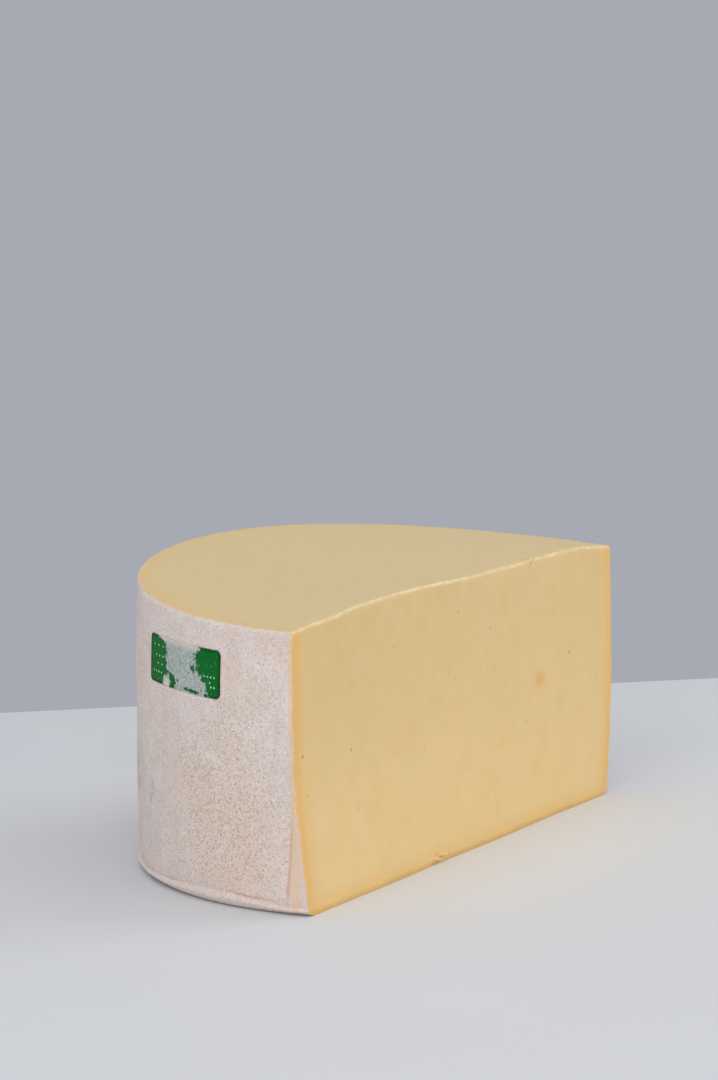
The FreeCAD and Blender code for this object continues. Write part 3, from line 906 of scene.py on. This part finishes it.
def outline(corner_steps, pitch):
    """Rounded outline of the plate, anticlockwise, with points about a pitch apart."""
    w, h, r = PLAQUE_W / 2, PLAQUE_H / 2, PLAQUE_CORNER
    line = []
    for cx, cy, start in ((w - r, h - r, 0), (r - w, h - r, 90), (r - w, r - h, 180), (w - r, r - h, 270)):
        for i in range(corner_steps):
            a = math.radians(start + 90 * i / (corner_steps - 1))
            line.append((cx + r * math.cos(a), cy + r * math.sin(a)))
    dense = []
    for (x0, y0), (x1, y1) in zip(line, line[1:] + line[:1]):
        parts = max(1, round(math.hypot(x1 - x0, y1 - y0) / pitch))
        dense += [(x0 + (x1 - x0) * i / parts, y0 + (y1 - y0) * i / parts) for i in range(parts)]
    return np.array(dense)


full = outline(7, 0.9)


def drawn_in(inward):
    """The plate's outline drawn in by a distance, with the same number of points."""
    centre_x = np.clip(full[:, 0], -PLAQUE_W / 2 + PLAQUE_CORNER, PLAQUE_W / 2 - PLAQUE_CORNER)
    centre_y = np.clip(full[:, 1], -PLAQUE_H / 2 + PLAQUE_CORNER, PLAQUE_H / 2 - PLAQUE_CORNER)
    middle = np.stack([centre_x, centre_y], -1)
    away = full - middle
    return full - away / np.linalg.norm(away, axis=1)[:, None] * inward


# section through the plate's border, mm: how far drawn in, how far out of the wall
BACK_OUT = PLAQUE_PROUD - PLAQUE_T
RIM_OUT, RIM_ROUND = PLAQUE_PROUD + PLAQUE_RIM_T, 0.25
border_section = [
    (0.6, BACK_OUT), (0.0, BACK_OUT), (0.0, RIM_OUT - RIM_ROUND), (0.08, RIM_OUT - 0.08),
    (RIM_ROUND, RIM_OUT), (PLAQUE_RIM_W - 0.7, RIM_OUT), (PLAQUE_RIM_W - 0.35, RIM_OUT - 0.05),
    (PLAQUE_RIM_W - 0.1, PLAQUE_PROUD + 0.12), (PLAQUE_RIM_W + 0.1, PLAQUE_PROUD + 0.02),
    (PLAQUE_RIM_W + 0.4, PLAQUE_PROUD),
]
plate_plan, plate_out, plate_faces = [], [], []
for inward, out in border_section:
    plate_plan.append(drawn_in(inward))
    plate_out.append(np.full(len(full), out))
ring = np.arange(len(full) * len(border_section)).reshape(len(border_section), -1)
for lower, upper in zip(ring[:-1], ring[1:]):
    plate_faces += np.stack([lower, np.roll(lower, -1), np.roll(upper, -1), upper], -1).tolist()

# the field inside the rim: even spots, joined to the last ring
FIELD_X, FIELD_Y, FIELD_PITCH, FIELD_CLEAR = 36, 12, 0.8, 2.4          # mm
spots = np.array([(x, y) for x in np.arange(-FIELD_X, FIELD_X + 0.1, FIELD_PITCH)
                  for y in np.arange(-FIELD_Y, FIELD_Y + 0.1, FIELD_PITCH)])
spots = spots[inset(spots[:, 0], spots[:, 1]) > FIELD_CLEAR]
flat = [Vector(p) for p in plate_plan[-1]] + [Vector(p) for p in spots]
triangles, source = triangulated(flat, len(full))
first_spot = ring.size
for t in triangles:
    numbers = [source[i][0] for i in t]
    plate_faces.append([int(ring[-1][n]) if n < len(full) else first_spot + n - len(full) for n in numbers])
plate_plan = np.concatenate(plate_plan + [spots, [[0.0, 0.0]]])
plate_out = np.concatenate(plate_out + [np.full(len(spots), PLAQUE_PROUD), [BACK_OUT]])
back = len(plate_plan) - 1
plate_faces += [[int(ring[0][i]), back, int(ring[0][(i + 1) % len(full)])] for i in range(len(full))]

# worn middle, where mould has grown over the plate: heights on the plate and places along it, mm
WORN_LEFT = ([-13, -9, -6, -4, 2.4, 7, 11.0, 13.3], [-3, -1.4, -6, -14, -15.5, -14.4, -16, -24])
WORN_RIGHT = ([-11, -7, -3.3, 0.4, 5, 9, 12.7], [27, 24.8, 22, 18.6, 16.8, 15.7, 20.4])
WORN_SPOTS = ((-14.2, -11.0, 4.8), (23.6, -8.7, 3.6))        # place, height, radius
GREEN_SPOTS = ((14.4, 0.5, 1.6, 2.6), (12.5, -12, 7.5, 1.2))  # place, height, width, height of it
BORDER_SOFT, SPOT_SOFT, CRUST = 3.5, 1.6, 0.10
pa, pb = plate_plan[:, 0], plate_plan[:, 1]
worn = smooth(pa - np.interp(pb, *WORN_LEFT), -BORDER_SOFT, BORDER_SOFT)
worn = worn * smooth(np.interp(pb, *WORN_RIGHT) - pa, -BORDER_SOFT, BORDER_SOFT)
for a, b, wide, tall in GREEN_SPOTS:
    worn = worn * (1 - 0.9 * blob(pa, pb, a, b, wide, tall))
for a, b, size in WORN_SPOTS:
    worn = np.maximum(worn, smooth(size - np.hypot(pa - a, pb - b), -SPOT_SOFT, SPOT_SOFT))
crust = CRUST * worn * (0.6 + fractal(spread(pa, pb), 3.0, 3, 6))
plate_out = plate_out + np.where(plate_out > PLAQUE_PROUD - 0.05, crust, 0)
mouldy = strongest(smooth(pb, 8.5, PLAQUE_H / 2), blob(pa, pb, -14.2, -11.5, 4.5, 3.5))
plate_mesh = make_mesh(
    "plaque_plate", plaque_point(pa, pb, plate_out), plate_faces,
    worn=worn,
    overgrown=worn * mouldy,
    rim=smooth(PLAQUE_RIM_W + 0.2 - inset(pa, pb), 0, 0.6),
)
plate = make_piece(plate_mesh, [plate_finish])


# ---------------------------------------------------------------- small things scattered over the skin
RANDOM_LOW, RANDOM_HIGH = 2, 3           # the random value node's sockets when it gives numbers
FULL_TURN = 6.283
LUMP = 0.7                               # size of the lumps on a grain, mm


def new_tree(name, sizes):
    """Geometry tree with named number inputs; returns the tree, its input and output nodes."""
    tree = bpy.data.node_groups.new(name, "GeometryNodeTree")
    tree.interface.new_socket("Geometry", in_out="INPUT", socket_type="NodeSocketGeometry")
    for label in sizes:
        tree.interface.new_socket(label, in_out="INPUT", socket_type="NodeSocketFloat")
    tree.interface.new_socket("Geometry", in_out="OUTPUT", socket_type="NodeSocketGeometry")
    return tree, node(tree, "NodeGroupInput"), node(tree, "NodeGroupOutput")


def grow(name, tree, base, sizes):
    """Runs a tree on a base mesh and returns the plain mesh object it makes."""
    holder = stand(name + "_holder", base)
    modifier = holder.modifiers.new("grow", "NODES")
    modifier.node_group = tree
    for socket in tree.interface.items_tree:
        if socket.in_out == "INPUT" and socket.name in sizes:
            modifier[socket.identifier] = sizes[socket.name]
    seen = bpy.context.evaluated_depsgraph_get()
    mesh = bpy.data.meshes.new_from_object(holder.evaluated_get(seen))
    bpy.data.objects.remove(holder)
    mesh.materials.pop(index=0)          # a primitive's own empty slot
    mesh.name = name
    return make_piece(mesh)


def grain_tree(name, material, seed):
    """Lumpy grains strewn over faces, thick where the mesh's field is high."""
    tree, given, result = new_tree(name, ["Density", "Smallest", "Largest", "Flatness", "Lumps"])
    field = node(tree, "GeometryNodeInputNamedAttribute", {"Name": "field"}, data_type="FLOAT")
    density = node(tree, "ShaderNodeMath", {0: field, 1: given.outputs["Density"]},
                   operation="MULTIPLY")
    strewn = node(tree, "GeometryNodeDistributePointsOnFaces",
                  {"Mesh": given.outputs["Geometry"], "Density": density, "Seed": seed},
                  distribute_method="RANDOM")
    size, spin, stretch = (
        node(tree, "FunctionNodeRandomValue",
             {RANDOM_LOW: low, RANDOM_HIGH: high, "Seed": seed + place}, data_type="FLOAT")
        for place, low, high in ((1, given.outputs["Smallest"], given.outputs["Largest"]),
                                 (2, 0.0, FULL_TURN), (3, 0.6, 1.4)))
    about = node(tree, "ShaderNodeCombineXYZ", {"Z": spin})
    facing = node(tree, "FunctionNodeRotateRotation",
                  {"Rotation": strewn.outputs["Rotation"], "Rotate By": about},
                  rotation_space="LOCAL")
    shape = node(tree, "ShaderNodeCombineXYZ",
                 {"X": stretch, "Y": 1.0, "Z": given.outputs["Flatness"]})
    scale = node(tree, "ShaderNodeVectorMath", {0: shape, "Scale": size}, operation="SCALE")
    grain = node(tree, "GeometryNodeMeshIcoSphere", {"Radius": 1.0, "Subdivisions": 1})
    put = node(tree, "GeometryNodeInstanceOnPoints",
               {"Points": strewn, "Instance": grain, "Rotation": facing, "Scale": scale})
    real = node(tree, "GeometryNodeRealizeInstances", {"Geometry": put})
    uneven = node(tree, "ShaderNodeTexNoise", {"Scale": per(LUMP), "Detail": 1.0})
    centred = node(tree, "ShaderNodeVectorMath", {0: uneven.outputs["Color"], 1: (0.5, 0.5, 0.5)},
                   operation="SUBTRACT")
    shift = node(tree, "ShaderNodeVectorMath", {0: centred, "Scale": given.outputs["Lumps"]},
                 operation="SCALE")
    lumpy = node(tree, "GeometryNodeSetPosition", {"Geometry": real, "Offset": shift})
    dressed = node(tree, "GeometryNodeSetMaterial", {"Geometry": lumpy, "Material": material})
    tree.links.new(dressed.outputs[0], result.inputs["Geometry"])
    return tree


def stud_tree(name, material):
    """A low round stud on every point, lying on the plate by the point's own facing."""
    tree, given, result = new_tree(name, ["Radius", "Height"])
    facing = node(tree, "GeometryNodeInputNamedAttribute", {"Name": "facing"},
                  data_type="FLOAT_VECTOR")
    turn = node(tree, "FunctionNodeAlignRotationToVector", {"Vector": facing}, axis="Z")
    stud = node(tree, "GeometryNodeMeshUVSphere", {"Radius": 1.0, "Segments": 10, "Rings": 6})
    radius = given.outputs["Radius"]
    shape = node(tree, "ShaderNodeCombineXYZ", {"X": radius, "Y": radius, "Z": given.outputs["Height"]})
    put = node(tree, "GeometryNodeInstanceOnPoints",
               {"Points": given, "Instance": stud, "Rotation": turn, "Scale": shape})
    real = node(tree, "GeometryNodeRealizeInstances", {"Geometry": put})
    dressed = node(tree, "GeometryNodeSetMaterial", {"Geometry": real, "Material": material})
    tree.links.new(dressed.outputs[0], result.inputs["Geometry"])
    return tree


def skin_patch(name, chosen_faces, field):
    """Part of the finished skin as its own mesh, carrying a field that guides the grains."""
    used = np.unique(np.concatenate(chosen_faces))
    faces = [np.searchsorted(used, f) for f in chosen_faces]
    return make_mesh(name, points[used], faces, field=field[used])


# bloom lies on all of the rind, and thick on the plaque's border where mould has grown over it
clear_of_plate = smooth(-seat, 0.8, 3.0)
rind_clear = clear_of_plate * smooth(height, 3.0, 6.0) * smooth(below_top, 1.0, 3.0)
bloom_field = rind_clear * np.clip(0.35 + 0.9 * wander, 0.05, 1) * (1 - 0.8 * flap)
overgrown = smooth(across, -20, -9) * smooth(across, 22, 12) * (upward > 0)
overgrown = overgrown + bell(across + 8, 8) * (upward < 0)
bloom_field = bloom_field + 9.0 * bell(seat + 0.4, 1.1) * wall_part * overgrown
blister_field = rind_clear * crowds ** 1.3

# crumbs hang in the fray at the foot, clear of the table, and at the nick in the upper edge
crumb_field = np.where(face_part, burr * smooth(height, 0.8, 2.0) + 0.8 * nick, 0)
crumb_field = crumb_field + np.where(top_part, nick, 0)
rind_faces = list(wall_faces)
crumb_faces = [f for f in list(face_faces) + list(top_faces) if crumb_field[np.asarray(f)].max() > 0.15]

# kind of grain: finish, seed, faces, field, how many to a square metre, smallest and largest
# radius in mm, height as a share of the radius, depth of its lumps in mm
GRAINS = {
    "bloom_grains": (bloom_finish, SEED, rind_faces, bloom_field, 150000.0, 0.2, 0.5, 0.4, 0.12),
    "rind_blisters": (blister_finish, SEED + 10, rind_faces, blister_field, 180000.0, 0.2, 0.45, 0.4, 0.12),
    "paste_crumbs": (crumb_finish, SEED + 20, crumb_faces, crumb_field, 600000.0, 0.25, 0.8, 0.6, 0.5),
}
grown = []
for name, (material, seed, faces, field, density, smallest, largest, flatness, lumps) in GRAINS.items():
    grown.append(grow(name, grain_tree("strewn_" + name, material, seed),
                      skin_patch("bed_of_" + name, faces, field),
                      {"Density": density, "Smallest": smallest * MM, "Largest": largest * MM,
                       "Flatness": flatness, "Lumps": lumps * MM}))

# short rows of moulded studs: height, first place, how many, pitch, mm
STUD_ROWS = [(8.0, -32.0, 3, 6.2), (2.2, -29.0, 3, 4.6), (-2.4, -26.5, 2, 5.6), (-7.2, -33.0, 4, 3.9),
             (-2.0, 25.2, 4, 2.75), (-5.2, 30.0, 1, 0.0), (-7.6, 31.0, 2, 2.6)]
STUD_RADIUS, STUD_HEIGHT = 0.68, 0.22
stud_spots = np.concatenate([
    plaque_point(first + pitch * np.arange(many), np.full(many, up), PLAQUE_PROUD)
    for up, first, many, pitch in STUD_ROWS])
stud_mesh = make_mesh("stud_places", stud_spots, [], facing=stud_spots / WHEEL_R * (1, 1, 0))
studs = grow("plaque_studs", stud_tree("moulded_studs", mark_finish), stud_mesh,
             {"Radius": STUD_RADIUS * MM, "Height": STUD_HEIGHT * MM})

# ---------------------------------------------------------------- every piece hangs from one root, and the imported cheese and plaque are hidden
for piece, slot_name in ((cheese, "cheese"), *((grains, "cheese") for grains in grown),
                         (plate, "plaque"), (studs, "plaque")):
    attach(piece, "root")
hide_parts("cheese")
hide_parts("plaque")


# ---------------------------------------------------------------- table, light and camera
FLOOR_BACK = ((0.299, 0.467), (0.654, 0.042))      # two points of the table's back edge, metres
FLOOR_REACH = 6.0                                  # its size each way from there, metres
first_point, second_point = (Vector(p) for p in FLOOR_BACK)
back_way = (second_point - first_point).normalized()
front_way = Vector((-abs(back_way.y), -abs(back_way.x)))
middle = (first_point + second_point) / 2
corners = [middle - back_way * FLOOR_REACH, middle + back_way * FLOOR_REACH]
corners += [corners[1] + front_way * FLOOR_REACH, corners[0] + front_way * FLOOR_REACH]
floor_mesh = bpy.data.meshes.new("table_top")
floor_mesh.from_pydata([(c.x, c.y, 0.0) for c in corners], [], [(0, 3, 2, 1)])
floor_mesh.materials.append(floor_finish)
floor = stand("table_top", floor_mesh)

SKY = "#a7aab2"
world = bpy.data.worlds.new("studio")
world.use_nodes = True
world.node_tree.nodes["Background"].inputs["Color"].default_value = colour(SKY)
world.node_tree.nodes["Background"].inputs["Strength"].default_value = 1.0
bpy.context.scene.world = world

# softboxes: place and width in metres, power in watts, tint; each looks at the cheese's middle
CHEESE_MIDDLE = Vector((0, 0, 0.08))
SOFTBOXES = {
    "key": ((1.7, -1.9, 1.0), 2.2, 30.0, "#fffaf2"),
    "front": ((-2.9, -0.9, 1.5), 2.6, 48.0, "#fffcf8"),
    "overhead": ((-0.3, -0.3, 3.0), 3.4, 26.0, "#ffffff"),
}
for name, (place, width, power, tint) in SOFTBOXES.items():
    lamp = bpy.data.lights.new(name, "AREA")
    lamp.shape = "SQUARE"
    lamp.size = width
    lamp.energy = power
    lamp.color = colour(tint)[:3]
    softbox = stand(name, lamp)
    softbox.location = place
    softbox.rotation_euler = (CHEESE_MIDDLE - Vector(place)).to_track_quat("-Z", "Y").to_euler()

CAMERA_PLACE = (-1.8552, -1.1148, 0.4382)
CAMERA_TURN, CAMERA_DOWN, CAMERA_ROLL = 30.469, 6.735, -1.270      # degrees
CAMERA_LENS, CAMERA_SENSOR = 120.0, 36.0
heading, down, roll = (math.radians(a) for a in (CAMERA_TURN, CAMERA_DOWN, CAMERA_ROLL))
ahead = Vector((math.cos(heading), math.sin(heading), 0))
level_right = Vector((ahead.y, -ahead.x, 0))
look = ahead * math.cos(down) - Vector((0, 0, math.sin(down)))
level_up = ahead * math.sin(down) + Vector((0, 0, math.cos(down)))
right = level_right * math.cos(roll) + level_up * math.sin(roll)
upright = level_up * math.cos(roll) - level_right * math.sin(roll)
camera_data = bpy.data.cameras.new("camera")
camera_data.lens = CAMERA_LENS
camera_data.sensor_width = CAMERA_SENSOR
camera = stand("camera", camera_data)
camera.matrix_world = Matrix((
    (right.x, upright.x, -look.x, CAMERA_PLACE[0]),
    (right.y, upright.y, -look.y, CAMERA_PLACE[1]),
    (right.z, upright.z, -look.z, CAMERA_PLACE[2]),
    (0, 0, 0, 1),
))
bpy.context.scene.camera = camera
bpy.context.scene.view_settings.view_transform = "Standard"
